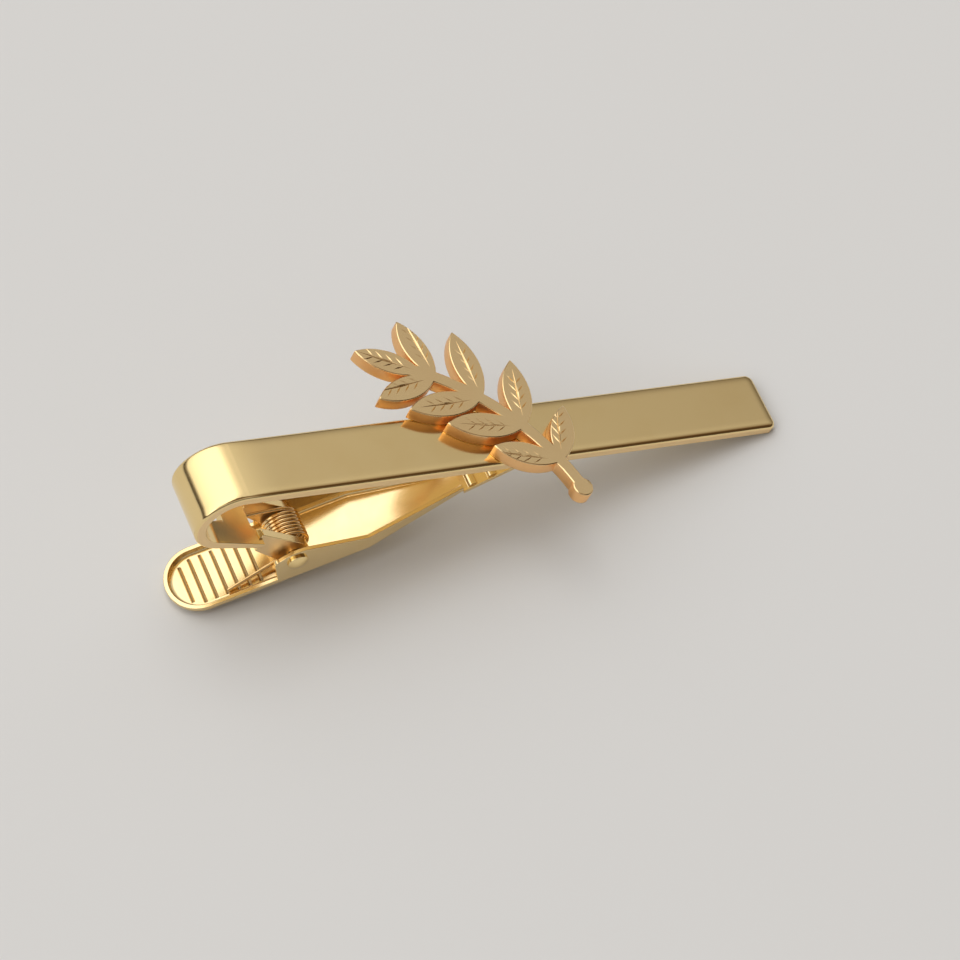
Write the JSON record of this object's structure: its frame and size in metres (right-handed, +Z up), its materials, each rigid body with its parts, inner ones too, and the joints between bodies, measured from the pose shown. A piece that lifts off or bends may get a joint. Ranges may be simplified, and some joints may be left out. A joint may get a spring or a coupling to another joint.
{
  "type": "tie clip",
  "caption": "Sprung tie clip: a flat polished bar bent round at one end, a laurel sprig plate on its front, and a hinged lever with a thumb pad and ridged jaw that closes on the bar's back.",
  "frame": {"origin": "centre of the bounding box in plan, on the surface the clip lies on", "axes": "+X along the clip from its bent end to the bar's free tip, +Y across the bar, +Z up; the clip lies on its thumb pad and the bar's tip, so the bar's front faces up and slopes down towards +X"},
  "size_m": [0.058, 0.0206, 0.0178],
  "materials": {
    "bar_gold": "mirror polished",
    "lever_gold": "polished",
    "pin_gold": "polished",
    "spring_gold": "polished",
    "sprig_gold": "polished"
  },
  "bodies": {
    "bar": {"front_bar": "bar_gold", "sprig_plate": "sprig_gold", "torsion_spring": "spring_gold"},
    "lever": {"clip_lever": "lever_gold", "hinge_pin": "pin_gold"}
  },
  "joints": [
    {"name": "lever_hinge", "type": "hinge", "parent": "bar", "child": "lever", "pos_m": [-0.01792, -0.00208, 0.00447], "axis": [0, 1, 0], "range_deg": [0, 50], "stiffness_Nm_per_rad": 0.02, "springref_deg": -28.65, "deforming": ["torsion_spring"]}
  ]
}
